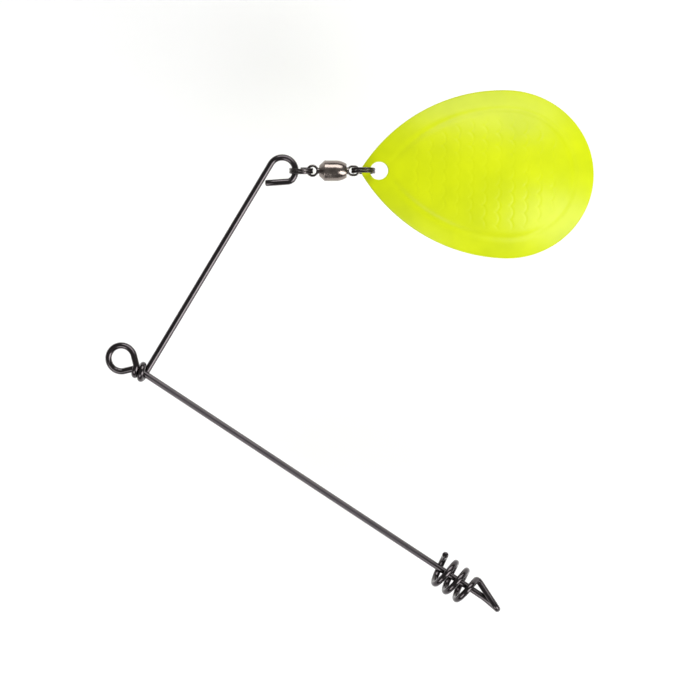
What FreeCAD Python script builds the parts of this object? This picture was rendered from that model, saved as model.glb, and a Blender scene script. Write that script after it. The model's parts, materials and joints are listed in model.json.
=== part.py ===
import FreeCAD, Part
import math
import os
from FreeCAD import Placement, Rotation, Vector

# Spinnerbait harness: one bent spring wire with a line tie, a screw-in bait holder and a
# blade arm, then two split rings, a ball bearing swivel and a cupped blade.
# Millimetres and degrees. The origin is the centre of the line tie, +X runs along the lower
# arm to the bait screw, +Y is the upper arm's side, and +Z is up from the object lying flat.

# Wire
wire_dia = 1.15
wire_gap = 0.03  # between turns of the wire that lie against each other
wire_end_round = 0.3

# Line tie, and the wraps that close it round the lower arm
line_tie_bore = 3.55
line_tie_half_angle = 47.0  # each strand's angle to the lower arm where they cross
line_tie_kink_inside = 0.425  # inside radius of the bend where the arm enters the loop
line_tie_sink = 0.38  # below the arm's level where the loop starts, in wrap radii,
line_tie_rise = 0.68  # and above it where the loop ends
wrap_turns = 1.5

# Lower arm and its folded tip
frame_reach = 82.6  # from the line tie's centre to the far end of the tip
tip_length = 3.0  # of the last, slightly bent stretch before the fold
tip_bend_drop = 0.12
tip_drop = 0.5
tip_leg_gap = 0.01  # between the arm and the leg that crosses it from the screw

# Bait screw, wound back along the lower arm
screw_outer_dia = 6.45
screw_pitch = 2.4
screw_turns = 3
screw_from_end = 6.55  # from the far end of the tip to the screw's first corner
screw_axis_drop = 0.38  # from the arm's line to the screw's axis, at its middle
screw_axis_slope = 3.0
screw_corner_inside = 0.075  # inside radius of the bend into the tip's leg

# Upper arm and its eye
upper_arm_length = 44.57  # from the lower arm's line to the eye's centre
upper_arm_lean = 2.4
eye_bore = 3.7
eye_leg_inset = 0.375  # how far the straight leg that closes the eye cuts inside its circle
eye_leg_angle = 37.2
eye_corner_inside = 0.725

# Split rings, each two layers of one flattened wire
ring_outer_dia = 4.4
ring_strand_width = 0.45  # across the ring's radius
ring_strand_height = 0.48  # along the ring's axis, for one layer
ring_layer_gap = 0.03
ring_edge_round = 0.12
ring_clearance = 0.12  # between a ring and the wire that it hangs on
ring_step_side = 235.0  # where the strand steps from one layer to the other
arm_ring_roll = 8.0

# Line of the rings, swivel and blade, from the eye's centre
chain_angle = 33.3

# Swivel: the eyed post that turns, its balls, the barrel and the eye fixed in it
post_eye_clearance = 0.136  # between the eye's bore and the corners of the ring's strand
post_eye_wire = 0.45
post_eye_thickness = 0.5
post_eye_slack = 0.07  # from the ring's strand to the middle of the eye
post_neck_gap = 0.1  # between the eye and the barrel
post_neck_clearance = 0.05  # between the neck and the balls, and the neck and the barrel
post_head_clearance = 0.17  # between the head's rim and the barrel's bore
post_head_thickness = 0.5

ball_dia = 0.8
ball_count = 7
ball_gap = 0.068  # from ball to ball round the ring of balls
ball_clearance = 0.02

barrel_wall = 0.455
barrel_face_width = 0.375
barrel_nose_length = 0.98
barrel_nose_wall = 0.46
barrel_inner_gap = 0.65  # between the two heads inside
barrel_taper_length = 1.97
barrel_end_wall = 1.6  # length that grips the end eye's shank
barrel_end_width = 0.6
barrel_edge_round = 0.12

end_eye_clearance = 0.056  # between the eye's bore and the corners of the ring's strand
end_eye_bore_stretch = 0.35  # how much longer than wide the bore is
end_eye_wire = 0.4
end_eye_thickness = 0.5
end_eye_neck = 0.45  # from the barrel to the eye's bore
end_eye_shank_dia = 1.3
end_eye_head_clearance = 0.12  # between the head's rim and the barrel's bore
end_eye_head_thickness = 0.5
eye_edge_round = 0.16

# Blade
blade_length = 42.6
blade_width = 30.8
blade_butt_length = 15.9  # from the widest place to the rounded end
blade_tip_radius = 1.6
blade_thickness = 0.7
blade_long_radius = 58.0  # of the cupped form, lengthways
blade_cross_radius = 32.0  # and across
blade_edge_round = 0.2
blade_hole_dia = 3.27
blade_web = 1.565  # from the tip to the hole
blade_slack = 0.535  # from the ring's inside to the edge of the hole
blade_yaw = -1.25
blade_pitch = 1.7

wire_radius = wire_dia / 2
wrap_radius = wire_dia + wire_gap
wrap_pitch = wrap_radius / math.sqrt(1 - 1 / math.pi ** 2)  # its front passes lie side by side
wrap_lean = wrap_pitch / (2 * math.pi)  # its back passes stand square to the arm
corners_per_turn = 8  # of the paths that are wound round the arm
line_tie_radius = (line_tie_bore + wire_dia) / 2
line_tie_crossing = line_tie_radius / math.sin(math.radians(line_tie_half_angle))
line_tie_kink_radius = wire_radius + line_tie_kink_inside
screw_radius = (screw_outer_dia - wire_dia) / 2
screw_start = frame_reach - screw_from_end
screw_corner_radius = wire_radius + screw_corner_inside
eye_radius = (eye_bore + wire_dia) / 2
eye_corner_radius = wire_radius + eye_corner_inside
ring_radius = (ring_outer_dia - ring_strand_width) / 2
ring_height = 2 * ring_strand_height + ring_layer_gap
ring_diagonal = math.hypot(ring_strand_width, ring_height)
ring_corners = 18


def direction(degrees):
    return Vector(math.cos(math.radians(degrees)), math.sin(math.radians(degrees)), 0)


def bent_path(corners):
    """A path of straight runs and tangent arcs through (point, largest bend radius)."""
    points = [point for point, radius in corners]
    last = len(points) - 1
    edges = []
    reached = points[0]
    for i in range(1, last):
        before = points[i] - points[i - 1]
        after = points[i + 1] - points[i]
        half_turn = before.getAngle(after) / 2
        room_before = before.Length * (1.0 if i == 1 else 0.5)
        room_after = after.Length * (1.0 if i == last - 1 else 0.5)
        reach = min(corners[i][1] * math.tan(half_turn), room_before, room_after)
        before.normalize()
        after.normalize()
        enter = points[i] - before * reach
        leave = points[i] + after * reach
        bulge = reach / math.tan(half_turn) * (1 / math.cos(half_turn) - 1)
        middle = points[i] + (after - before).normalize() * bulge
        if enter.distanceToPoint(reached) > 1e-5:
            edges.append(Part.LineSegment(reached, enter).toShape())
        edges.append(Part.Arc(enter, middle, leave).toShape())
        reached = leave
    if points[last].distanceToPoint(reached) > 1e-5:
        edges.append(Part.LineSegment(reached, points[last]).toShape())
    return Part.Wire(edges)


def screw_point(turn, radius):
    """A point of the bait screw, counted in turns back from its first corner."""
    angle = 2 * math.pi * turn
    along = -screw_pitch * turn
    middle = -screw_pitch * screw_turns / 2
    drop = screw_axis_drop + (along - middle) * math.tan(math.radians(screw_axis_slope))
    return Vector(screw_start + along, radius * math.cos(angle) - drop, radius * math.sin(angle))


def screw_corners():
    """From the screw's cut end to its first corner, towards the tip."""
    outer = screw_radius / math.cos(math.pi / corners_per_turn)
    corners = [(screw_point(screw_turns, screw_radius), 0)]
    for i in range(screw_turns * corners_per_turn - 1):
        turn = screw_turns - (i + 0.5) / corners_per_turn
        corners.append((screw_point(turn, outer), screw_radius))
    corners.append((screw_point(0, screw_radius), screw_corner_radius))
    return corners


def tip_corners():
    """The fold at the tip, whose return leg stands above the arm, and the arm's last bend."""
    x = frame_reach - wire_radius
    start = screw_point(0, screw_radius)
    clear = wire_dia + tip_leg_gap
    above = clear * (start.y + tip_drop) / math.sqrt((start.y + tip_bend_drop) ** 2 - clear ** 2)
    return [
        (Vector(x, -tip_drop, above), above / 2),
        (Vector(x, -tip_drop, 0), above / 2),
        (Vector(x - tip_length, -tip_bend_drop, 0), 10 * wire_dia),
    ]


def line_tie_corners():
    """From the lower arm, round the loop and up to the front of the lower arm."""
    count = 8
    sweep = 180.0 + 2 * line_tie_half_angle
    step = sweep / count
    outer = line_tie_radius / math.cos(math.radians(step / 2))
    corners = [(Vector(line_tie_crossing, 0, 0), line_tie_kink_radius)]
    for i in range(count):
        angle = line_tie_half_angle - 90.0 - step * (i + 0.5)
        level = wrap_radius * ((line_tie_sink + line_tie_rise) * i / (count - 1) - line_tie_sink)
        corners.append((direction(angle) * outer + Vector(0, 0, level), line_tie_radius))
    return corners


def wrap_corners():
    """The wraps, from the front of the lower arm to behind it."""
    count = round(wrap_turns * corners_per_turn) + 1
    outer = wrap_radius / math.cos(math.pi / corners_per_turn)
    corners = []
    for i in range(count):
        turn = 0.25 + (i - 0.5) / corners_per_turn
        angle = 2 * math.pi * turn
        x = line_tie_crossing + wrap_pitch * (turn - 0.25) - wrap_lean * math.cos(angle)
        corners.append((Vector(x, outer * math.cos(angle), outer * math.sin(angle)), wrap_radius))
    return corners


def eye_centre():
    """The middle of the upper arm's eye. The arm's line touches the eye's circle."""
    foot = wrap_corners()[-1][0]
    up = direction(90.0 + upper_arm_lean)
    return foot + up * (upper_arm_length - foot.y) + direction(upper_arm_lean) * eye_radius


def eye_corners():
    """Up the arm, over the eye, round its corner and back to the arm."""
    centre = eye_centre()
    count = 6
    first = 180.0 + upper_arm_lean
    step = first / count
    outer = eye_radius / math.cos(math.radians(step / 2))
    corners = []
    for i in range(count):
        angle = first - step * (i + 0.5)
        corners.append((centre + direction(angle) * outer, eye_radius))
    leg = direction(eye_leg_angle) * -1
    normal = direction(eye_leg_angle - 90.0)
    side = centre + Vector(eye_radius, 0, 0)
    fall = (eye_radius - eye_leg_inset - eye_radius * normal.x) / normal.y
    corner = side + Vector(0, fall, 0)
    corners.append((corner, eye_corner_radius))
    across = direction(upper_arm_lean)
    cut_reach = wire_radius * abs(math.cos(math.radians(90 - eye_leg_angle + upper_arm_lean)))
    stop = wire_radius + wire_gap + cut_reach
    to_arm = (corner - centre).dot(across) + eye_radius - stop
    corners.append((corner + leg * (to_arm / -leg.dot(across)), 0))
    return corners


def wire_frame():
    corners = screw_corners() + tip_corners() + line_tie_corners() + wrap_corners()
    path = bent_path(corners + eye_corners())
    start = path.OrderedVertexes[0].Point
    heading = path.OrderedEdges[0].tangentAt(path.OrderedEdges[0].FirstParameter)
    section = Part.Wire(Part.Circle(start, heading, wire_radius).toShape())
    wire = path.makePipeShell([section], True, False)
    ends = [face for face in wire.Faces if face.Surface.TypeId == "Part::GeomPlane"]
    edges = [edge for face in ends for edge in face.Edges]
    return wire.makeFillet(wire_end_round, edges)


def in_chain(shape, along, roll=0.0):
    """Put a shape on the chain's line, this far from the eye and rolled about the line."""
    rolled = Placement(Vector(along, 0, 0), Rotation(Vector(1, 0, 0), roll))
    place = Placement(eye_centre(), Rotation(Vector(0, 0, 1), chain_angle))
    return shape.transformed(place.multiply(rolled).Matrix)


def rounded_section(width, height, radius):
    """A rounded rectangle in the XZ plane, about the origin."""
    box = Part.makeBox(width, 1, height, Vector(-width / 2, 0, -height / 2))
    along = [edge for edge in box.Edges if abs(edge.tangentAt(0).y) > 0.5]
    return box.makeFillet(radius, along).slice(Vector(0, 1, 0), 0.5)[0].translated(Vector(0, -0.5, 0))


def split_ring():
    """Two flat turns about the Z axis, with one step between them where the ends stand."""
    lift = (ring_strand_height + ring_layer_gap) / 2
    step = 360.0 / ring_corners
    outer = ring_radius / math.cos(math.radians(step / 2))
    corners = []
    for i in range(2, 2 * ring_corners - 1):
        height = max(-1, min(1, i - ring_corners)) * lift
        at = direction(ring_step_side + step * i) * outer
        corners.append((at + Vector(0, 0, height), ring_radius))
    start = direction(ring_step_side + step * 1.5) * ring_radius + Vector(0, 0, -lift)
    end = direction(ring_step_side - step * 1.5) * ring_radius + Vector(0, 0, lift)
    path = bent_path([(start, 0)] + corners + [(end, 0)])
    section = rounded_section(ring_strand_width, ring_strand_height, ring_edge_round)
    section.rotate(Vector(), Vector(0, 0, 1), ring_step_side + step * 1.5)
    section.translate(start)
    pipe = Part.BRepOffsetAPI.MakePipeShell(path)
    pipe.setBiNormalMode(Vector(0, 0, 1))
    pipe.add(section)
    pipe.build()
    pipe.makeSolid()
    return pipe.shape()


def flat_eye(bore_width, bore_length, wire, thickness):
    """A flat eye in the XY plane with its bore's middle at the origin and its length on X."""
    half = (bore_length - bore_width) / 2

    def plate(radius, depth):
        body = Part.makeCylinder(radius, depth, Vector(half, 0, -depth / 2))
        if half > 0:
            body = body.fuse(Part.makeCylinder(radius, depth, Vector(-half, 0, -depth / 2)))
            body = body.fuse(Part.makeBox(2 * half, 2 * radius, depth, Vector(-half, -radius, -depth / 2)))
        return body.removeSplitter()

    eye = plate(bore_width / 2 + wire, thickness).cut(plate(bore_width / 2, 2 * thickness))
    rims = [edge for edge in eye.Edges if abs(abs(edge.BoundBox.Center.z) - thickness / 2) < 1e-6]
    return eye.makeFillet(eye_edge_round, rims)


def turned(points):
    """A solid turned about the X axis from (x, radius) points."""
    edges = []
    for first, second in zip(points, points[1:] + points[:1]):
        edges.append(Part.LineSegment(Vector(*first, 0), Vector(*second, 0)).toShape())
    return Part.Face(Part.Wire(edges)).revolve(Vector(), Vector(1, 0, 0), 360)


# Radii of the swivel, outwards from the neck that the balls run round
ball_radius = ball_dia / 2
ball_circle = (ball_dia + ball_gap) / 2 / math.sin(math.pi / ball_count)
neck_radius = ball_circle - ball_radius - post_neck_clearance
neck_hole_radius = neck_radius + post_neck_clearance
face_radius = neck_hole_radius + barrel_face_width
bore_radius = ball_circle + ball_radius + ball_clearance
barrel_radius = bore_radius + barrel_wall
post_head_radius = bore_radius - post_head_clearance
end_eye_head_radius = bore_radius - end_eye_head_clearance
shank_radius = end_eye_shank_dia / 2
end_radius = shank_radius + barrel_end_width

# Places inside the barrel, from its face. The balls run between its cone and the post's head.
nose_slope = (barrel_radius - face_radius) / barrel_nose_length
nose_slant = math.sqrt(1 + nose_slope ** 2)


def inner_cone_at(radius):
    """Where the barrel's inner cone has this radius."""
    return (radius - face_radius + barrel_nose_wall * nose_slant) / nose_slope


ball_at = inner_cone_at(ball_circle + (ball_radius + ball_clearance) * nose_slant)
post_head_at = ball_at + ball_radius + ball_clearance
end_eye_head_at = post_head_at + post_head_thickness + barrel_inner_gap
bore_end = end_eye_head_at + end_eye_head_thickness
barrel_length = bore_end + barrel_end_wall

# Stations along the chain, from the upper arm's eye
post_eye_bore = ring_diagonal + 2 * post_eye_clearance
end_eye_bore_width = ring_diagonal + 2 * end_eye_clearance
end_eye_bore_length = end_eye_bore_width + end_eye_bore_stretch
arm_ring_at = eye_radius + ring_radius - wire_radius - ring_strand_width / 2 - ring_clearance
post_eye_at = arm_ring_at + ring_radius + post_eye_slack
barrel_at = post_eye_at + post_eye_bore / 2 + post_eye_wire + post_neck_gap
end_eye_at = barrel_at + barrel_length + end_eye_neck + end_eye_bore_length / 2
blade_ring_at = end_eye_at - end_eye_bore_stretch / 2 + ring_radius
blade_edge_at = blade_ring_at + ring_radius - ring_strand_width / 2 - blade_slack


def swivel_post():
    eye = flat_eye(post_eye_bore, post_eye_bore, post_eye_wire, post_eye_thickness)
    neck_start = post_eye_bore / 2 + post_eye_wire / 2
    head_start = barrel_at - post_eye_at + post_head_at
    head_end = head_start + post_head_thickness
    stem = turned([
        (neck_start, 0),
        (neck_start, neck_radius),
        (head_start, neck_radius),
        (head_start, post_head_radius),
        (head_end, post_head_radius),
        (head_end, 0),
    ])
    depth = 4 * neck_radius
    stem = stem.cut(Part.makeCylinder(post_eye_bore / 2, depth, Vector(0, 0, -depth / 2)))
    return in_chain(eye.fuse(stem).removeSplitter(), post_eye_at)


def bearing_ball(number):
    angle = 2 * math.pi * number / ball_count
    centre = Vector(ball_at, ball_circle * math.cos(angle), ball_circle * math.sin(angle))
    return in_chain(Part.makeSphere(ball_radius, centre), barrel_at)


def swivel_barrel():
    taper_start = barrel_length - barrel_taper_length
    fall = barrel_radius - end_radius
    taper_radius = (barrel_taper_length ** 2 + fall ** 2) / (2 * fall)
    half_turn = math.asin(barrel_taper_length / taper_radius) / 2
    taper_middle = Vector(
        taper_start + taper_radius * math.sin(half_turn),
        barrel_radius - taper_radius * (1 - math.cos(half_turn)),
        0,
    )
    outline = [
        (0, neck_hole_radius),
        (0, face_radius),
        (barrel_nose_length, barrel_radius),
        (taper_start, barrel_radius),
        (barrel_length, end_radius),
        (barrel_length, shank_radius),
        (bore_end, shank_radius),
        (bore_end, bore_radius),
        (inner_cone_at(bore_radius), bore_radius),
        (inner_cone_at(neck_hole_radius), neck_hole_radius),
    ]
    points = [Vector(x, radius, 0) for x, radius in outline]
    edges = []
    for i in range(len(points)):
        first, second = points[i], points[(i + 1) % len(points)]
        if i == 3:
            edges.append(Part.Arc(first, taper_middle, second).toShape())
        else:
            edges.append(Part.LineSegment(first, second).toShape())
    barrel = Part.Face(Part.Wire(edges)).revolve(Vector(), Vector(1, 0, 0), 360)
    rims = []
    for place in (outline[1], outline[2], outline[4]):
        for edge in barrel.Edges:
            box = edge.BoundBox
            if math.hypot(box.XMin - place[0], box.XMax - place[0], box.YMax - place[1]) < 1e-3:
                rims.append(edge)
    return in_chain(barrel.makeFillet(barrel_edge_round, rims), barrel_at)


def swivel_end_eye():
    eye = flat_eye(end_eye_bore_width, end_eye_bore_length, end_eye_wire, end_eye_thickness)
    head_start = barrel_at + end_eye_head_at - end_eye_at
    head_end = head_start + end_eye_head_thickness
    stem_end = -end_eye_bore_length / 2
    stem = turned([
        (head_start, 0),
        (head_start, end_eye_head_radius),
        (head_end, end_eye_head_radius),
        (head_end, shank_radius),
        (stem_end, shank_radius),
        (stem_end, 0),
    ])
    return in_chain(eye.fuse(stem).removeSplitter(), end_eye_at)


def blade_outline():
    """The blade seen from above, with its tip at the origin and its length on X."""
    half_width = blade_width / 2
    widest = blade_length - blade_butt_length
    tip = blade_tip_radius
    flank = ((widest - tip) ** 2 + half_width ** 2 - tip ** 2) / (2 * (half_width - tip))
    flank_centre = Vector(widest, half_width - flank, 0)
    to_tip = (Vector(tip, 0, 0) - flank_centre).normalize()
    touch = flank_centre + to_tip * flank
    middle = flank_centre + (to_tip + Vector(0, 1, 0)).normalize() * flank
    shoulder = Vector(widest, half_width, 0)
    end = Vector(blade_length, 0, 0)
    centre = Vector(widest, 0, 0)

    def below(point):
        return Vector(point.x, -point.y, point.z)

    if blade_butt_length >= half_width:
        butt = Part.ArcOfEllipse(Part.Ellipse(end, shoulder, centre), -math.pi / 2, math.pi / 2)
    else:
        butt = Part.ArcOfEllipse(Part.Ellipse(shoulder, end, centre), 0, math.pi)
    edges = [
        Part.Arc(below(touch), Vector(), touch).toShape(),
        Part.Arc(touch, middle, shoulder).toShape(),
        butt.toShape(),
        Part.Arc(below(shoulder), below(middle), below(touch)).toShape(),
    ]
    return Part.Wire(Part.__sortEdges__(edges))


def blade_level(x):
    """Height of the cupped sheet's middle along the blade's centre line, from the tip's."""
    crown = blade_length / 2
    return math.sqrt(blade_long_radius ** 2 - (x - crown) ** 2) - math.sqrt(
        blade_long_radius ** 2 - crown ** 2
    )


def cupped_sheet():
    """A sheet curved both ways, larger than the blade that is cut from it."""
    crown = Vector(blade_length / 2, 0, blade_level(blade_length / 2))
    margin = 4.0
    spread = math.degrees(math.asin(blade_width / 2 / blade_cross_radius)) + margin
    reach = math.degrees(math.asin(blade_length / 2 / blade_long_radius)) + margin
    cross_centre = crown - Vector(0, 0, blade_cross_radius)

    def on_arc(radius, degrees):
        angle = math.radians(degrees)
        return cross_centre + Vector(0, radius * math.sin(angle), radius * math.cos(angle))

    over = blade_cross_radius + blade_thickness / 2
    under = blade_cross_radius - blade_thickness / 2
    section = Part.Wire([
        Part.Arc(on_arc(over, -spread), on_arc(over, 0), on_arc(over, spread)).toShape(),
        Part.LineSegment(on_arc(over, spread), on_arc(under, spread)).toShape(),
        Part.Arc(on_arc(under, spread), on_arc(under, 0), on_arc(under, -spread)).toShape(),
        Part.LineSegment(on_arc(under, -spread), on_arc(over, -spread)).toShape(),
    ])
    axis_at = crown - Vector(0, 0, blade_long_radius)
    face = Part.Face(section).rotated(axis_at, Vector(0, 1, 0), -reach)
    return face.revolve(axis_at, Vector(0, 1, 0), 2 * reach)


def blade():
    depth = 4 * blade_level(blade_length / 2) + 4 * blade_thickness
    prism = Part.Face(blade_outline()).translated(Vector(0, 0, -depth / 2)).extrude(Vector(0, 0, depth))
    sheet = cupped_sheet().common(prism)
    hole_at = blade_web + blade_hole_dia / 2
    hole = Part.makeCylinder(blade_hole_dia / 2, depth, Vector(hole_at, 0, -depth / 2))
    sheet = sheet.cut(hole).Solids[0]
    sheet = sheet.makeFillet(blade_edge_round, rim_edges(sheet))
    sheet.translate(Vector(-blade_web, 0, -blade_level(blade_web)))
    sheet.rotate(Vector(), Vector(0, 1, 0), blade_pitch)
    sheet.rotate(Vector(), Vector(0, 0, 1), blade_yaw)
    return in_chain(sheet, blade_edge_at)


def rim_edges(sheet):
    """The sheet's edges on its two large faces, round the outline and the hole."""
    faces = sorted(sheet.Faces, key=lambda face: face.Area)[-2:]
    return [edge for face in faces for edge in face.Edges]


def parts():
    yield "wire_frame", wire_frame()
    yield "arm_split_ring", in_chain(split_ring(), arm_ring_at, 90.0 + arm_ring_roll)
    yield "swivel_post", swivel_post()
    for number in range(ball_count):
        yield f"bearing_ball_{number + 1}", bearing_ball(number)
    yield "swivel_barrel", swivel_barrel()
    yield "swivel_end_eye", swivel_end_eye()
    yield "blade_split_ring", in_chain(split_ring(), blade_ring_at, 90.0)
    yield "blade", blade()


os.makedirs("parts", exist_ok=True)
for name, shape in parts():
    solids = shape.Solids
    if len(solids) != 1 or not solids[0].isValid() or solids[0].Volume <= 0:
        raise ValueError(f"{name} is not one sound solid")
    solids[0].exportStep(f"parts/{name}.step")
    print(f"{name}: {solids[0].Volume:.3f} cubic mm")
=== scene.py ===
import json
import math

import bmesh
import bpy
import numpy as np
from mathutils import Matrix, Vector
from mathutils.geometry import delaunay_2d_cdt


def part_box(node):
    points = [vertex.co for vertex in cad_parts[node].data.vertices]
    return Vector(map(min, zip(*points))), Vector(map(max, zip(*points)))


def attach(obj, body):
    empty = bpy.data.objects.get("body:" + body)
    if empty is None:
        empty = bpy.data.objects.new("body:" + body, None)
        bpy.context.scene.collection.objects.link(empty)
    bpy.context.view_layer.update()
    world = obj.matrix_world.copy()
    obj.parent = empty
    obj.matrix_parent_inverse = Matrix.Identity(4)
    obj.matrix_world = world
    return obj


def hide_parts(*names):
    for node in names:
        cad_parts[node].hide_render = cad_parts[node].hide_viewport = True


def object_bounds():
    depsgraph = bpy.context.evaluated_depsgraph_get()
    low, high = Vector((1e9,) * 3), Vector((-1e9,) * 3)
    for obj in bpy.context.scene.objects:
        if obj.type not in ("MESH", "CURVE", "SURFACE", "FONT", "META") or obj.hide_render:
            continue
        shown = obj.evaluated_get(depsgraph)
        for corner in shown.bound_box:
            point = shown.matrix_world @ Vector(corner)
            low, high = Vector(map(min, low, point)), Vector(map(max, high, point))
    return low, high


# The harness lies flat above a pale floor, seen from straight above. Lengths in the
# dictionaries are millimetres and angles are degrees.

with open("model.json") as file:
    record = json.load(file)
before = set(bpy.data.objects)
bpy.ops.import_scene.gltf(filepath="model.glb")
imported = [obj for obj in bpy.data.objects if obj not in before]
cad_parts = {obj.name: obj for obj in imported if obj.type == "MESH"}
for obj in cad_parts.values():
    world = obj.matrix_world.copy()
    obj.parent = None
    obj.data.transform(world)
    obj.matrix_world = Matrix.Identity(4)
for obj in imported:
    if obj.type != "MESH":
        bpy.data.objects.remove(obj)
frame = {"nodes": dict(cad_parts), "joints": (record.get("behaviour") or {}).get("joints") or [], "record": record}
cadLow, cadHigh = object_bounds()
record = frame["record"]
joints = {joint["name"]: joint for joint in frame["joints"]}
mounts = {mount["name"]: mount for mount in record["mounts"]}
mm = 0.001
print("frame loaded:", len(frame["nodes"]), "nodes")


def hexColor(code):
    channels = [int(code[i:i + 2], 16) / 255 for i in (1, 3, 5)]
    linear = []
    for c in channels:  # the sRGB curve, back to linear light
        linear.append(c / 12.92 if c <= 0.04045 else ((c + 0.055) / 1.055) ** 2.4)
    return (*linear, 1.0)


def addNode(tree, kind, settings=None, values=None, links=None):
    node = tree.nodes.new(kind)
    for name, value in (settings or {}).items():
        setattr(node, name, value)
    for name, value in (values or {}).items():
        node.inputs[name].default_value = value
    for name, source in (links or {}).items():
        tree.links.new(source, node.inputs[name])
    return node


def newMaterial(name):
    material = bpy.data.materials.new(name)
    material.use_nodes = True
    material.node_tree.nodes.clear()
    return material


def finishMaterial(material, shader):
    tree = material.node_tree
    addNode(tree, "ShaderNodeOutputMaterial", links={"Surface": shader.outputs["BSDF"]})
    return material


def addMesh(name, vertices, faces, material):
    mesh = bpy.data.meshes.new(name)
    mesh.from_pydata(vertices, [], faces)
    mesh.validate()
    mesh.shade_smooth()
    mesh.materials.append(material)
    piece = bpy.data.objects.new(name, mesh)
    bpy.context.scene.collection.objects.link(piece)
    return piece


def direction(degrees):
    angle = math.radians(degrees)
    return Vector((math.cos(angle), math.sin(angle), 0))


def smoothStep(low, high, values):
    share = np.clip((values - low) / (high - low), 0, 1)
    return share * share * (3 - 2 * share)


nickelLook = {
    "wireColor": "#454243",
    "wireLightColor": "#5c5658",
    "ringColor": "#454142",
    "ringLightColor": "#6b6564",
    "swivelColor": "#565150",
    "swivelLightColor": "#86807c",
    "roughness": (0.1, 0.24),
    "ringRoughness": (0.14, 0.3),
    "swivelRoughness": (0.16, 0.32),
    "drawLineWidth": 0.09,  # die marks left along drawn wire
    "drawLineLength": 9.0,
    "drawLineDepth": 0.006,
    "blotchSize": 2.5,
    "ringGrain": 0.12,
    "swivelGrain": 0.15,
    "grainDepth": 0.004,
}


def blackNickelWire():
    # Black nickel over drawn spring steel: a dark mirror with long die marks, so
    # highlights break into thin streaks that run along the wire.
    look = nickelLook
    material = newMaterial("blackNickelWire")
    tree = material.node_tree
    place = addNode(tree, "ShaderNodeAttribute", {"attribute_name": "wireSpace"})
    width, length = look["drawLineWidth"], look["drawLineLength"]
    drawn = addNode(
        tree, "ShaderNodeMapping",
        values={"Scale": (1 / width, 1 / width, 1 / length)},
        links={"Vector": place.outputs["Vector"]},
    )
    marks = addNode(
        tree, "ShaderNodeTexNoise",
        values={"Scale": 1.0, "Detail": 3.0, "Roughness": 0.6},
        links={"Vector": drawn.outputs["Vector"]},
    )
    blotches = addNode(
        tree, "ShaderNodeTexNoise",
        values={"Scale": 1 / look["blotchSize"], "Detail": 2.0},
        links={"Vector": place.outputs["Vector"]},
    )
    mixed = addNode(
        tree, "ShaderNodeMath", {"operation": "MULTIPLY_ADD"},
        {1: 0.6}, {0: marks.outputs["Fac"], 2: blotches.outputs["Fac"]},
    )
    rough = addNode(
        tree, "ShaderNodeMapRange",
        values={"From Min": 0.45, "From Max": 1.15,
                "To Min": look["roughness"][0], "To Max": look["roughness"][1]},
        links={"Value": mixed.outputs["Value"]},
    )
    tint = addNode(
        tree, "ShaderNodeMix", {"data_type": "RGBA"},
        {6: hexColor(look["wireColor"]), 7: hexColor(look["wireLightColor"])},
        {0: blotches.outputs["Fac"]},
    )
    bump = addNode(
        tree, "ShaderNodeBump",
        values={"Strength": 0.35, "Distance": look["drawLineDepth"] * mm},
        links={"Height": marks.outputs["Fac"]},
    )
    shader = addNode(
        tree, "ShaderNodeBsdfPrincipled",
        values={"Metallic": 1.0},
        links={"Base Color": tint.outputs[2], "Roughness": rough.outputs["Result"],
               "Normal": bump.outputs["Normal"]},
    )
    return finishMaterial(material, shader)


def platedMetal(name, color, lightColor, roughness, grain):
    # Bright plating over a formed or turned part: even, a little worn, with a fine grain.
    material = newMaterial(name)
    tree = material.node_tree
    place = addNode(tree, "ShaderNodeTexCoord")
    wearScale = 1 / (nickelLook["blotchSize"] * mm)
    wear = addNode(
        tree, "ShaderNodeTexNoise",
        values={"Scale": wearScale, "Detail": 4.0, "Roughness": 0.65},
        links={"Vector": place.outputs["Object"]},
    )
    fine = addNode(
        tree, "ShaderNodeTexNoise",
        values={"Scale": 1 / (grain * mm), "Detail": 2.0},
        links={"Vector": place.outputs["Object"]},
    )
    tint = addNode(
        tree, "ShaderNodeMix", {"data_type": "RGBA"},
        {6: hexColor(color), 7: hexColor(lightColor)},
        {0: wear.outputs["Fac"]},
    )
    rough = addNode(
        tree, "ShaderNodeMapRange",
        values={"From Min": 0.3, "From Max": 0.7,
                "To Min": roughness[0], "To Max": roughness[1]},
        links={"Value": wear.outputs["Fac"]},
    )
    bump = addNode(
        tree, "ShaderNodeBump",
        values={"Strength": 0.25, "Distance": nickelLook["grainDepth"] * mm},
        links={"Height": fine.outputs["Fac"]},
    )
    shader = addNode(
        tree, "ShaderNodeBsdfPrincipled",
        values={"Metallic": 1.0},
        links={"Base Color": tint.outputs[2], "Roughness": rough.outputs["Result"],
               "Normal": bump.outputs["Normal"]},
    )
    return finishMaterial(material, shader)


barrelLook = {
    "color": "#6e6560",
    "lightColor": "#a79c94",
    "roughness": (0.14, 0.3),
    "turningPitch": 0.11,  # of the tool marks left by the lathe
    "turningDepth": 0.004,
    "wearSize": 1.2,
}


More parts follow.
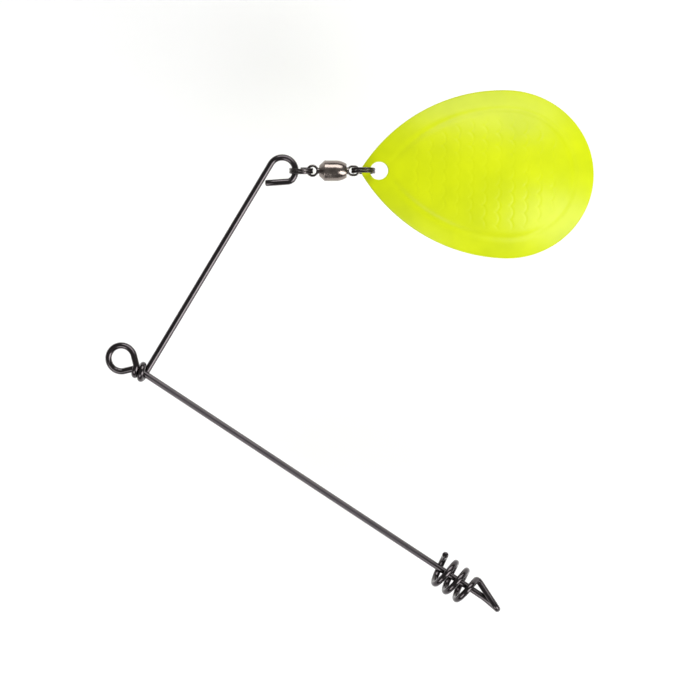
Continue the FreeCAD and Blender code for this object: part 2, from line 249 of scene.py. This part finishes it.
def turnedGunmetal():
    # Turned brass under a warm gunmetal plating: rings of tool marks square to the
    # barrel's axis, and highlights that spread along it.
    look = barrelLook
    material = newMaterial("turnedGunmetal")
    tree = material.node_tree
    spin = joints["swivel_spin"]
    turn = Vector(spin["axis"]).to_track_quat("X", "Z").to_euler()
    # at a scale of 1 the rings are pi / 10 apart
    waveScale = 1 / (look["turningPitch"] * mm) / 20 * 2 * math.pi
    place = addNode(tree, "ShaderNodeTexCoord")
    centred = addNode(
        tree, "ShaderNodeMapping", {"vector_type": "TEXTURE"},
        {"Location": spin["pos_m"], "Rotation": turn},
        {"Vector": place.outputs["Object"]},
    )
    rings = addNode(
        tree, "ShaderNodeTexWave",
        {"wave_type": "BANDS", "bands_direction": "X", "wave_profile": "SIN"},
        {"Scale": waveScale, "Distortion": 1.2, "Detail": 2.0, "Detail Scale": 3.0},
        {"Vector": centred.outputs["Vector"]},
    )
    wear = addNode(
        tree, "ShaderNodeTexNoise",
        values={"Scale": 1 / (look["wearSize"] * mm), "Detail": 4.0, "Roughness": 0.6},
        links={"Vector": place.outputs["Object"]},
    )
    tint = addNode(
        tree, "ShaderNodeMix", {"data_type": "RGBA"},
        {6: hexColor(look["color"]), 7: hexColor(look["lightColor"])},
        {0: wear.outputs["Fac"]},
    )
    rough = addNode(
        tree, "ShaderNodeMapRange",
        values={"From Min": 0.3, "From Max": 0.7,
                "To Min": look["roughness"][0], "To Max": look["roughness"][1]},
        links={"Value": wear.outputs["Fac"]},
    )
    bump = addNode(
        tree, "ShaderNodeBump",
        values={"Strength": 0.3, "Distance": look["turningDepth"] * mm},
        links={"Height": rings.outputs["Fac"]},
    )
    shader = addNode(
        tree, "ShaderNodeBsdfPrincipled",
        values={"Metallic": 1.0},
        links={"Base Color": tint.outputs[2], "Roughness": rough.outputs["Result"],
               "Normal": bump.outputs["Normal"]},
    )
    return finishMaterial(material, shader)


paintLook = {
    "color": "#d4e202",
    "deepColor": "#c8d701",
    "roughness": 0.42,
    "coat": 0.28,
    "gloss": 0.2,
    "coatRoughness": 0.26,
    "paintedGlow": 0.02,  # painted glow: the paint shines a little light of its own in its colour whatever the lamps do, standing in for fluorescent pigment that gives back a little more light than it gets
    "mottleSize": 9.0,
    "peelSize": 0.8,  # orange peel of sprayed lacquer
    "peelDepth": 0.01,
}


def fluorescentPaint():
    # Sprayed chartreuse with fluorescent pigment under clear lacquer: very saturated, a faint mottle from the
    # spray, a soft clear gloss, and a faint painted glow that shines whatever the lamps do.
    look = paintLook
    material = newMaterial("fluorescentPaint")
    tree = material.node_tree
    place = addNode(tree, "ShaderNodeTexCoord")
    mottle = addNode(
        tree, "ShaderNodeTexNoise",
        values={"Scale": 1 / (look["mottleSize"] * mm), "Detail": 3.0, "Roughness": 0.55},
        links={"Vector": place.outputs["Object"]},
    )
    spread = addNode(
        tree, "ShaderNodeMapRange",
        values={"From Min": 0.35, "From Max": 0.65},
        links={"Value": mottle.outputs["Fac"]},
    )
    tint = addNode(
        tree, "ShaderNodeMix", {"data_type": "RGBA"},
        {6: hexColor(look["deepColor"]), 7: hexColor(look["color"])},
        {0: spread.outputs["Result"]},
    )
    peel = addNode(
        tree, "ShaderNodeTexNoise",
        values={"Scale": 1 / (look["peelSize"] * mm), "Detail": 1.0},
        links={"Vector": place.outputs["Object"]},
    )
    bump = addNode(
        tree, "ShaderNodeBump",
        values={"Strength": 0.2, "Distance": look["peelDepth"] * mm},
        links={"Height": peel.outputs["Fac"]},
    )
    # the emission is a painted glow in the paint's colour, lit by no lamp
    shader = addNode(
        tree, "ShaderNodeBsdfPrincipled",
        values={"Metallic": 0.0, "Roughness": look["roughness"],
                "Specular IOR Level": look["gloss"], "Coat Weight": look["coat"],
                "Coat Roughness": look["coatRoughness"], "Emission Strength": look["paintedGlow"]},
        links={"Base Color": tint.outputs[2], "Emission Color": tint.outputs[2],
               "Normal": bump.outputs["Normal"], "Coat Normal": bump.outputs["Normal"]},
    )
    return finishMaterial(material, shader)


ballLook = {
    "color": "#a4a6aa",
    "lightColor": "#c9cbcf",
    "roughness": (0.06, 0.14),
    "grain": 0.3,
}

wireMaterial = blackNickelWire()
ringMaterial = platedMetal(
    "blackNickelRing", nickelLook["ringColor"], nickelLook["ringLightColor"],
    nickelLook["ringRoughness"], nickelLook["ringGrain"],
)
swivelMaterial = platedMetal(
    "blackNickelSwivel", nickelLook["swivelColor"], nickelLook["swivelLightColor"],
    nickelLook["swivelRoughness"], nickelLook["swivelGrain"],
)
ballMaterial = platedMetal(
    "bearingSteel", ballLook["color"], ballLook["lightColor"],
    ballLook["roughness"], ballLook["grain"],
)
barrelMaterial = turnedGunmetal()
paintMaterial = fluorescentPaint()
print("materials made")


wire = {
    "dia": mounts["line_tie"]["dims"]["length_mm"],
    "gap": 0.03,
    "endRound": 0.3,
    "tieInside": mounts["line_tie"]["dims"]["r_mm"],
    "tieHalfAngle": 47.0,
    "tieKinkInside": 0.425,
    "tieSink": 0.38,
    "tieRise": 0.68,
    "tieCorners": 8,
    "wrapTurns": 1.5,
    "tipLength": 3.0,
    "tipBendDrop": 0.12,
    "tipDrop": 0.5,
    "tipLegGap": 0.01,
    "tipBend": 10.0,  # radius of the soft bend after the tip, in wire diameters
    "screwPitch": 2.4,
    "screwTurns": 3,
    "screwFromEnd": 6.55,
    "screwDrop": 0.38,
    "screwSlope": 3.0,
    "screwCornerInside": 0.075,
    "armLength": 44.57,
    "armLean": 2.4,
    "eyeBore": 3.7,
    "eyeLegInset": 0.375,
    "eyeLegAngle": 37.2,
    "eyeCornerInside": 0.725,
    "eyeCorners": 6,
    "cornersPerTurn": 8,
    "sides": 32,
    "arcStep": 0.16,  # between points on an arc
    "runStep": 2.5,  # and on a straight run
    "endSteps": 6,
}
wireRadius = wire["dia"] / 2
tieRadius = wire["tieInside"] + wireRadius
wrapRadius = wire["dia"] + wire["gap"]
wrapPitch = wrapRadius / math.sqrt(1 - 1 / math.pi ** 2)
screwRadius = mounts["bait_screw"]["dims"]["r_mm"] - wireRadius
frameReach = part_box("wire_frame")[1].x / mm
eyeRadius = wire["eyeBore"] / 2 + wireRadius
tieCrossing = tieRadius / math.sin(math.radians(wire["tieHalfAngle"]))


def screwPoint(turn, radius):
    along = -wire["screwPitch"] * turn
    middle = -wire["screwPitch"] * wire["screwTurns"] / 2
    drop = wire["screwDrop"] + (along - middle) * math.tan(math.radians(wire["screwSlope"]))
    angle = 2 * math.pi * turn
    x = frameReach - wire["screwFromEnd"] + along
    return Vector((x, radius * math.cos(angle) - drop, radius * math.sin(angle)))


def wireCorners():
    # From the bait screw's cut end to its corner, out to the tip and back, along the
    # lower arm, round the line tie, through the wraps, and up the arm to the eye.
    perTurn = wire["cornersPerTurn"]
    widen = 1 / math.cos(math.pi / perTurn)
    corners = [(screwPoint(wire["screwTurns"], screwRadius), 0)]
    for i in range(wire["screwTurns"] * perTurn - 1):
        turn = wire["screwTurns"] - (i + 0.5) / perTurn
        corners.append((screwPoint(turn, screwRadius * widen), screwRadius))
    first = screwPoint(0, screwRadius)
    corners.append((first, wireRadius + wire["screwCornerInside"]))
    # the fold at the tip
    tipX = frameReach - wireRadius
    clear = wire["dia"] + wire["tipLegGap"]
    reach = math.sqrt((first.y + wire["tipBendDrop"]) ** 2 - clear ** 2)
    above = clear * (first.y + wire["tipDrop"]) / reach
    corners.append((Vector((tipX, -wire["tipDrop"], above)), above / 2))
    corners.append((Vector((tipX, -wire["tipDrop"], 0)), above / 2))
    bend = Vector((tipX - wire["tipLength"], -wire["tipBendDrop"], 0))
    corners.append((bend, wire["tipBend"] * wire["dia"]))
    # the line tie
    corners.append((Vector((tieCrossing, 0, 0)), wireRadius + wire["tieKinkInside"]))
    count = wire["tieCorners"]
    step = (180 + 2 * wire["tieHalfAngle"]) / count
    outer = tieRadius / math.cos(math.radians(step / 2))
    for i in range(count):
        share = i / (count - 1)
        level = wrapRadius * ((wire["tieSink"] + wire["tieRise"]) * share - wire["tieSink"])
        at = direction(wire["tieHalfAngle"] - 90 - step * (i + 0.5)) * outer
        corners.append((at + Vector((0, 0, level)), tieRadius))
    # the wraps
    for i in range(round(wire["wrapTurns"] * perTurn) + 1):
        turn = 0.25 + (i - 0.5) / perTurn
        angle = 2 * math.pi * turn
        x = tieCrossing + wrapPitch * (turn - 0.25 - math.cos(angle) / (2 * math.pi))
        ring = wrapRadius * widen
        at = Vector((x, ring * math.cos(angle), ring * math.sin(angle)))
        corners.append((at, wrapRadius))
    # the upper arm's eye
    foot = corners[-1][0]
    up = direction(90 + wire["armLean"])
    across = direction(wire["armLean"])
    centre = foot + up * (wire["armLength"] - foot.y) + across * eyeRadius
    count = wire["eyeCorners"]
    sweep = 180 + wire["armLean"]
    outer = eyeRadius / math.cos(math.radians(sweep / count / 2))
    for i in range(count):
        at = centre + direction(sweep - sweep / count * (i + 0.5)) * outer
        corners.append((at, eyeRadius))
    leg = -direction(wire["eyeLegAngle"])
    normal = direction(wire["eyeLegAngle"] - 90)
    fall = (eyeRadius - wire["eyeLegInset"] - eyeRadius * normal.x) / normal.y
    corner = centre + Vector((eyeRadius, fall, 0))
    corners.append((corner, wireRadius + wire["eyeCornerInside"]))
    lean = math.radians(90 - wire["eyeLegAngle"] + wire["armLean"])
    stop = wireRadius + wire["gap"] + wireRadius * abs(math.cos(lean))
    toArm = (corner - centre).dot(across) + eyeRadius - stop
    corners.append((corner + leg * (toArm / -leg.dot(across)), 0))
    return corners


def bentRoute(corners):
    # Straight runs and tangent arcs through the corners, as points close enough to look
    # round.
    points = [point for point, radius in corners]
    tiny = 1e-4  # a run shorter than this is skipped
    last = len(points) - 1
    route = [points[0].copy()]

    def runTo(target):
        start = route[-1].copy()
        pieces = max(1, round((target - start).length / wire["runStep"]))
        for k in range(1, pieces + 1):
            route.append(start.lerp(target, k / pieces))

    for i in range(1, last):
        before = points[i] - points[i - 1]
        after = points[i + 1] - points[i]
        halfTurn = before.angle(after) / 2
        roomBefore = before.length * (1.0 if i == 1 else 0.5)
        roomAfter = after.length * (1.0 if i == last - 1 else 0.5)
        reach = min(corners[i][1] * math.tan(halfTurn), roomBefore, roomAfter)
        radius = reach / math.tan(halfTurn)
        before.normalize()
        after.normalize()
        enter = points[i] - before * reach
        centre = points[i] + (after - before).normalized() * (radius / math.cos(halfTurn))
        axis = before.cross(after).normalized()
        if (enter - route[-1]).length > tiny:
            runTo(enter)
        steps = max(3, round(radius * 2 * halfTurn / wire["arcStep"]))
        for k in range(1, steps + 1):
            turned = Matrix.Rotation(2 * halfTurn * k / steps, 3, axis) @ (enter - centre)
            route.append(centre + turned)
    if (points[last] - route[-1]).length > tiny:
        runTo(points[last])
    return route


def routeCurve(name, route, radius, endRound):
    # A curve along the route whose radius closes in at the two rounded ends.
    lengths = [0.0]
    for first, second in zip(route, route[1:]):
        lengths.append(lengths[-1] + (second - first).length)
    total = lengths[-1]
    steps = wire["endSteps"]
    angles = [math.radians(90 * k / steps) for k in range(steps)]
    stations = [endRound * (1 - math.cos(angle)) for angle in angles]
    places = stations + [s for s in lengths if endRound <= s <= total - endRound]
    places += [total - s for s in reversed(stations)]
    xyz = np.array([tuple(point) for point in route])
    coords = np.stack([np.interp(places, lengths, xyz[:, k]) for k in range(3)], axis=1)
    curve = bpy.data.curves.new(name, "CURVE")
    curve.dimensions = "3D"
    spline = curve.splines.new("POLY")
    spline.points.add(len(places) - 1)
    for point, place, at in zip(spline.points, places, coords):
        inset = max(0.0, endRound - min(place, total - place))
        point.co = (*(at * mm), 1.0)
        point.radius = (radius - endRound + math.sqrt(endRound ** 2 - inset ** 2)) / radius
    curveObject = bpy.data.objects.new(name, curve)
    bpy.context.scene.collection.objects.link(curveObject)
    return curveObject


def sweepTree():
    # Sweeps a round section along the curve and keeps where each point is on the wire,
    # as (across, across, along) in millimetres, for the wire's finish to follow.
    tree = bpy.data.node_groups.new("drawnWire", "GeometryNodeTree")
    sockets = tree.interface
    sockets.new_socket("Curve", in_out="INPUT", socket_type="NodeSocketGeometry")
    sockets.new_socket("Wire Radius", in_out="INPUT", socket_type="NodeSocketFloat")
    sockets.new_socket("Sides", in_out="INPUT", socket_type="NodeSocketInt")
    sockets.new_socket("Finish", in_out="INPUT", socket_type="NodeSocketMaterial")
    sockets.new_socket("Mesh", in_out="OUTPUT", socket_type="NodeSocketGeometry")
    source = addNode(tree, "NodeGroupInput")
    line = addNode(tree, "GeometryNodeSplineParameter")
    along = addNode(
        tree, "GeometryNodeStoreNamedAttribute",
        {"data_type": "FLOAT", "domain": "POINT"},
        {"Name": "alongWire"},
        {"Geometry": source.outputs["Curve"], "Value": line.outputs["Length"]},
    )
    circle = addNode(
        tree, "GeometryNodeCurvePrimitiveCircle",
        links={"Resolution": source.outputs["Sides"],
               "Radius": source.outputs["Wire Radius"]},
    )
    place = addNode(tree, "GeometryNodeInputPosition")
    around = addNode(
        tree, "GeometryNodeStoreNamedAttribute",
        {"data_type": "FLOAT_VECTOR", "domain": "POINT"},
        {"Name": "acrossWire"},
        {"Geometry": circle.outputs["Curve"], "Value": place.outputs["Position"]},
    )
    radius = addNode(tree, "GeometryNodeInputRadius")
    swept = addNode(
        tree, "GeometryNodeCurveToMesh",
        values={"Fill Caps": True},
        links={"Curve": along.outputs["Geometry"],
               "Profile Curve": around.outputs["Geometry"]},
    )
    if "Scale" in swept.inputs:
        tree.links.new(radius.outputs["Radius"], swept.inputs["Scale"])
    across = addNode(
        tree, "GeometryNodeInputNamedAttribute",
        {"data_type": "FLOAT_VECTOR"}, {"Name": "acrossWire"},
    )
    length = addNode(
        tree, "GeometryNodeInputNamedAttribute",
        {"data_type": "FLOAT"}, {"Name": "alongWire"},
    )
    lift = addNode(tree, "ShaderNodeCombineXYZ", links={"Z": length.outputs["Attribute"]})
    total = addNode(
        tree, "ShaderNodeVectorMath", {"operation": "ADD"},
        links={0: across.outputs["Attribute"], 1: lift.outputs["Vector"]},
    )
    inMm = addNode(
        tree, "ShaderNodeVectorMath", {"operation": "SCALE"},
        {"Scale": 1 / mm}, {0: total.outputs["Vector"]},
    )
    stored = addNode(
        tree, "GeometryNodeStoreNamedAttribute",
        {"data_type": "FLOAT_VECTOR", "domain": "POINT"},
        {"Name": "wireSpace"},
        {"Geometry": swept.outputs["Mesh"], "Value": inMm.outputs["Vector"]},
    )
    smooth = addNode(
        tree, "GeometryNodeSetShadeSmooth",
        links={"Geometry": stored.outputs["Geometry"]},
    )
    real = addNode(
        tree, "GeometryNodeRealizeInstances",
        links={"Geometry": smooth.outputs["Geometry"]},
    )
    finished = addNode(
        tree, "GeometryNodeSetMaterial",
        links={"Geometry": real.outputs["Geometry"], "Material": source.outputs["Finish"]},
    )
    addNode(tree, "NodeGroupOutput", links={"Mesh": finished.outputs["Geometry"]})
    return tree


def applied(source, tree, values, name):
    # Runs a node tree on an object and keeps the result as a plain mesh.
    modifier = source.modifiers.new(tree.name, "NODES")
    modifier.node_group = tree
    for item in tree.interface.items_tree:
        if item.item_type == "SOCKET" and item.in_out == "INPUT" and item.name in values:
            modifier[item.identifier] = values[item.name]
    shown = source.evaluated_get(bpy.context.evaluated_depsgraph_get())
    mesh = bpy.data.meshes.new_from_object(shown, preserve_all_data_layers=True)
    mesh.name = name
    source.modifiers.remove(modifier)
    piece = bpy.data.objects.new(name, mesh)
    bpy.context.scene.collection.objects.link(piece)
    bpy.data.objects.remove(source)
    return piece


def makeWire():
    curve = routeCurve("wireRoute", bentRoute(wireCorners()), wireRadius, wire["endRound"])
    values = {
        "Wire Radius": wireRadius * mm,
        "Sides": wire["sides"],
        "Finish": wireMaterial,
    }
    piece = applied(curve, sweepTree(), values, "bent_wire")
    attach(piece, "frame")
    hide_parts("wire_frame")
    print("wire swept:", len(piece.data.polygons), "faces")


makeWire()


blade = {
    "length": 42.6,
    "width": 30.8,
    "buttLength": 15.9,
    "tipRadius": 1.6,
    "thickness": 0.7,
    "longRadius": 58.0,
    "crossRadius": 32.0,
    "edgeRound": 0.2,
    "holeDia": 3.27,
    "web": 1.565,
    "yaw": -1.25,
    "pitch": 1.7,
    "topSpacing": 0.21,
    "underSpacing": 0.6,
    "edgeStep": 0.25,
    "rimAngles": (22.5, 45, 67.5, 90),
    "borderAt": 3.7,  # of the pressed border line, from the edge
    "borderWidth": 0.55,
    "borderDepth": 0.1,
    "borderStart": (3.0, 9.0),  # the line fades in over this distance from the tip
    "scalePitch": (2.5, 2.4),  # of the stamped scales, along and across
    "scaleRadius": 1.4,
    "scaleLine": 0.15,
    "scaleDepth": 0.034,
    "scaleOpening": 0.5,  # over which a scale's arc fades out at its open side
    "scaleZone": (4.6, 6.0),  # the scales fade in over this distance from the edge
    "holeMargin": 1.2,  # how much closer the scales come to the hole than to the edge
}


def bladeOutline(step):
    # Points round the blade from above with the outward direction at each: a round tip,
    # two flanks and an elliptical butt. The tip is at zero and the length is on X.
    half = blade["width"] / 2
    widest = blade["length"] - blade["buttLength"]
    tip = blade["tipRadius"]
    flank = ((widest - tip) ** 2 + half ** 2 - tip ** 2) / (2 * (half - tip))
    centre = np.array([widest, half - flank])
    tilt = math.atan2(-centre[1], tip - centre[0])
    upper = []
    count = max(6, int(tip * (math.pi - tilt) / step))
    for angle in np.linspace(math.pi, tilt, count, endpoint=False):
        normal = np.array([math.cos(angle), math.sin(angle)])
        upper.append((np.array([tip, 0]) + tip * normal, normal))
    count = int(flank * (tilt - math.pi / 2) / step)
    for angle in np.linspace(tilt, math.pi / 2, count, endpoint=False):
        normal = np.array([math.cos(angle), math.sin(angle)])
        upper.append((centre + flank * normal, normal))
    butt = blade["buttLength"]
    count = int(1.5 * half / step)  # a quarter of the butt's ellipse is about this long
    for angle in np.linspace(math.pi / 2, 0, count):
        place = np.array([widest + butt * math.cos(angle), half * math.sin(angle)])
        normal = np.array([math.cos(angle) / butt, math.sin(angle) / half])
        upper.append((place, normal / np.linalg.norm(normal)))
    flip = np.array([1, -1])
    lower = [(place * flip, normal * flip) for place, normal in reversed(upper[1:-1])]
    return upper + lower


def holeOutline(step):
    radius = blade["holeDia"] / 2
    centre = np.array([blade["web"] + radius, 0])
    found = []
    count = int(2 * math.pi * radius / step)
    for angle in np.linspace(0, 2 * math.pi, count, endpoint=False):
        outward = np.array([math.cos(angle), math.sin(angle)])
        found.append((centre + radius * outward, -outward))
    return found


def sheetLevel(xy):
    crown = blade["length"] / 2
    across = np.sqrt(blade["crossRadius"] ** 2 - xy[:, 1] ** 2)
    swing = blade["longRadius"] - blade["crossRadius"] + across
    base = math.sqrt(blade["longRadius"] ** 2 - crown ** 2)
    return np.sqrt(swing ** 2 - (xy[:, 0] - crown) ** 2) - base


def sheetSteepness(xy):
    # How much longer an upright cut through the sheet is than its thickness.
    small = 1e-3
    slopes = []
    for aside in ([small, 0], [0, small]):
        slopes.append((sheetLevel(xy + aside) - sheetLevel(xy - aside)) / (2 * small))
    return np.sqrt(1 + slopes[0] ** 2 + slopes[1] ** 2)


def nearest(xy, loop):
    # The distance from each point to the nearest point of the loop, a batch at a time.
    edge = np.array([place for place, normal in loop])
    found = np.empty(len(xy))
    batch = 2000
    for start in range(0, len(xy), batch):
        part = xy[start:start + batch]
        squares = ((part[:, None] - edge[None]) ** 2).sum(2)
        found[start:start + batch] = np.sqrt(squares).min(1)
    return found


def bladeRelief(xy, outline, hole):
    # A border line pressed in along the edge, and shallow stamped scales inside it that
    # fade out towards it. The scales are staggered arcs that open towards the tip.
    toOutline = nearest(xy, outline)
    toEdge = np.minimum(toOutline, nearest(xy, hole) + blade["holeMargin"])
    border = np.exp(-((toOutline - blade["borderAt"]) / blade["borderWidth"]) ** 2)
    relief = -blade["borderDepth"] * border * smoothStep(*blade["borderStart"], xy[:, 0])
    pitchX, pitchY = blade["scalePitch"]
    column = np.floor(xy[:, 0] / pitchX)
    groove = np.zeros(len(xy))
    for ahead in (0, 1):
        cell = column - ahead
        shift = (cell % 2) * 0.5
        row = np.round(xy[:, 1] / pitchY - shift)
        dx = xy[:, 0] - (cell + 0.5) * pitchX
        dy = xy[:, 1] - (row + shift) * pitchY
        away = np.hypot(dx, dy) - blade["scaleRadius"]
        line = np.exp(-(away / blade["scaleLine"]) ** 2)
        groove = np.maximum(groove, line * smoothStep(0.0, blade["scaleOpening"], dx))
    fade = smoothStep(*blade["scaleZone"], toEdge)
    return relief - blade["scaleDepth"] * groove * fade


def triangulated(outline, hole, spacing):
    # The flat sheet between its rim and the hole's rim, in small even triangles.
    inset = blade["edgeRound"]
    rims = [[place - normal * inset for place, normal in loop] for loop in (outline, hole)]
    gridX = np.arange(0, blade["length"], spacing)
    rowStep = spacing * math.sqrt(0.75)  # rows of equal sided triangles
    gridY = np.arange(-blade["width"] / 2, blade["width"] / 2, rowStep)
    spots = []
    for j, y in enumerate(gridY):
        spots.extend((x + spacing / 2 * (j % 2), y) for x in gridX)
    spots = np.array(spots)
    upper = np.array([place for place, normal in outline[:len(outline) // 2]])
    half = np.interp(spots[:, 0], upper[:, 0], upper[:, 1])
    spots = spots[np.abs(spots[:, 1]) < half]
    clear = inset + 0.6 * spacing  # no loose point lies closer to a rim
    spots = spots[nearest(spots, outline) > clear]
    middle = np.array([blade["web"] + blade["holeDia"] / 2, 0])
    spots = spots[np.hypot(*(spots - middle).T) > blade["holeDia"] / 2 + clear]
    points = [Vector(p) for rim in rims for p in rim] + [Vector(p) for p in spots]
    counts = [len(outline), len(hole)]
    loops = [list(range(counts[0])), list(range(counts[0], sum(counts)))]
    mergeWithin = 1e-7
    found = delaunay_2d_cdt(points, [], loops, 2, mergeWithin)
    xy = np.array([tuple(p) for p in found[0]])
    faces = [tuple(face) for face in found[2]]
    centres = np.array([xy[list(face)].mean(0) for face in faces])
    solid = np.hypot(*(centres - middle).T) > blade["holeDia"] / 2 + inset
    return xy, [face for face, keep in zip(faces, solid) if keep], counts


def bladeFrame():
    # From the blade's own axes, in millimetres, to its place on the chain.
    flap = joints["blade_flap"]
    side = Vector(flap["axis"])
    along = side.cross(Vector((0, 0, 1))).normalized()
    turn = Matrix((along, side, Vector((0, 0, 1)))).transposed().to_4x4()
    edgeLevel = sheetLevel(np.array([[blade["web"], 0], [blade["web"] / 2, 0]]))
    pivot = Vector(flap["pos_m"]) / mm
    place = pivot + along * (blade["web"] / 2) + Vector((0, 0, edgeLevel[0] - edgeLevel[1]))
    lean = Matrix.Rotation(math.radians(blade["yaw"]), 4, "Z")
    lean = lean @ Matrix.Rotation(math.radians(blade["pitch"]), 4, "Y")
    origin = Matrix.Translation((-blade["web"], 0, -edgeLevel[0]))
    return Matrix.Scale(mm, 4) @ Matrix.Translation(place) @ turn @ lean @ origin


def makeBlade():
    outline = bladeOutline(blade["edgeStep"])
    hole = holeOutline(blade["edgeStep"])
    vertices = []
    faces = []

    def addLevel(xy, height):
        start = len(vertices)
        levels = sheetLevel(xy) + height * sheetSteepness(xy)
        vertices.extend(np.column_stack([xy, levels]).tolist())
        return start

    sheets = []
    for spacing, side in ((blade["topSpacing"], 1), (blade["underSpacing"], -1)):
        xy, found, counts = triangulated(outline, hole, spacing)
        height = side * blade["thickness"] / 2 + bladeRelief(xy, outline, hole)
        start = addLevel(xy, height)
        for face in found:
            turned = face if side > 0 else face[::-1]
            faces.append(tuple(start + i for i in turned))
        sheets.append(start)
    offset = 0
    for loop, count in zip((outline, hole), counts):
        rings = [[sheets[0] + offset + i for i in range(count)]]
        for inset, level in rimProfile():
            xy = np.array([place - normal * inset for place, normal in loop])
            start = addLevel(xy, np.full(count, level))
            rings.append([start + i for i in range(count)])
        rings.append([sheets[1] + offset + i for i in range(count)])
        for upper, lower in zip(rings, rings[1:]):
            for i in range(count):
                k = (i + 1) % count
                faces.append((upper[i], lower[i], lower[k], upper[k]))
        offset += count
    shape = addMesh("blade_shell", vertices, faces, paintMaterial)
    shape.data.transform(bladeFrame())
    fixNormals(shape)
    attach(shape, "blade")
    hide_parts("blade")
    print("blade made:", len(shape.data.polygons), "faces")


def rimProfile():
    # Inset and level of the rim between the two sheets: a round, a flat and a round.
    half = blade["thickness"] / 2
    curve = blade["edgeRound"]
    found = []
    for degrees in blade["rimAngles"]:
        angle = math.radians(degrees)
        sine, cosine = math.sin(angle), math.cos(angle)
        found.append((curve * (1 - sine), half - curve * (1 - cosine)))
    return found + [(inset, -level) for inset, level in reversed(found)]


def fixNormals(piece):
    work = bmesh.new()
    work.from_mesh(piece.data)
    bmesh.ops.recalc_face_normals(work, faces=work.faces)
    work.to_mesh(piece.data)
    work.free()


makeBlade()


# finishes on the parts that keep their shape
finishes = {
    "arm_split_ring": ringMaterial,
    "blade_split_ring": ringMaterial,
    "swivel_post": swivelMaterial,
    "swivel_end_eye": swivelMaterial,
    "swivel_barrel": barrelMaterial,
}
for name, node in frame["nodes"].items():
    if name.startswith("bearing_ball"):
        finishes[name] = ballMaterial
for name, material in finishes.items():
    for place in frame["nodes"][name].material_slots:
        place.material = material
print("finishes set on", len(finishes), "parts")


# floor, light and camera
studio = {
    "floorColor": "#fcfcfc",
    "floorRoughness": 0.7,
    "floorSize": 6000.0,
    "floorDrop": 60.0,  # below the object, so that the blade can swing down clear of it
    "worldColor": "#ffffff",
    "worldStrength": 0.2,
    "aim": (33.9, 24.1),
    "viewWidth": 127.3,  # at the wire's level, edge to edge of the view
    "viewTurn": 33.31,  # the view's right from +X, seen from above
    "lens": 120.0,
    "sensor": 36.0,
    "lightDistance": 1000.0,
}
# each light's bearing from the view's right, angle above the wire's level, size and power
lights = {
    "keyLight": {"bearing": -32, "height": 38, "size": (500, 840), "watts": 7.4},
    "backLight": {"bearing": 78, "height": 38, "size": (900, 560), "watts": 6.6},
    "frontLight": {"bearing": -123, "height": 36, "size": (580, 500), "watts": 3.6},
}


def makeStudio():
    scene = bpy.context.scene
    world = bpy.data.worlds.new("softRoom")
    world.use_nodes = True
    background = world.node_tree.nodes["Background"]
    background.inputs["Color"].default_value = hexColor(studio["worldColor"])
    background.inputs["Strength"].default_value = studio["worldStrength"]
    scene.world = world
    material = newMaterial("paleFloor")
    tree = material.node_tree
    shader = addNode(
        tree, "ShaderNodeBsdfPrincipled",
        values={"Base Color": hexColor(studio["floorColor"]),
                "Roughness": studio["floorRoughness"]},
    )
    finishMaterial(material, shader)
    half = studio["floorSize"] * mm / 2
    low = cadLow.z - studio["floorDrop"] * mm
    corners = [(x * half, y * half, low) for x, y in ((-1, -1), (1, -1), (1, 1), (-1, 1))]
    addMesh("floor", corners, [(0, 1, 2, 3)], material)
    aim = Vector((studio["aim"][0] * mm, studio["aim"][1] * mm, 0))
    for name, light in lights.items():
        data = bpy.data.lights.new(name, "AREA")
        data.shape = "RECTANGLE"
        data.size, data.size_y = [side * mm for side in light["size"]]
        data.energy = light["watts"]
        lamp = bpy.data.objects.new(name, data)
        height = math.radians(light["height"])
        bearing = direction(studio["viewTurn"] + light["bearing"])
        offset = bearing * math.cos(height) + Vector((0, 0, math.sin(height)))
        lamp.location = aim + offset * studio["lightDistance"] * mm
        lamp.rotation_euler = offset.to_track_quat("Z", "Y").to_euler()
        scene.collection.objects.link(lamp)
    data = bpy.data.cameras.new("camera")
    data.lens = studio["lens"]
    data.sensor_width = studio["sensor"]
    data.clip_start = 0.01  # metres
    camera = bpy.data.objects.new("camera", data)
    distance = studio["viewWidth"] * mm * studio["lens"] / studio["sensor"]
    camera.location = aim + Vector((0, 0, distance))
    camera.rotation_euler = (0, 0, math.radians(studio["viewTurn"]))
    scene.collection.objects.link(camera)
    scene.camera = camera
    scene.view_settings.view_transform = "Standard"
    print("studio ready")


makeStudio()
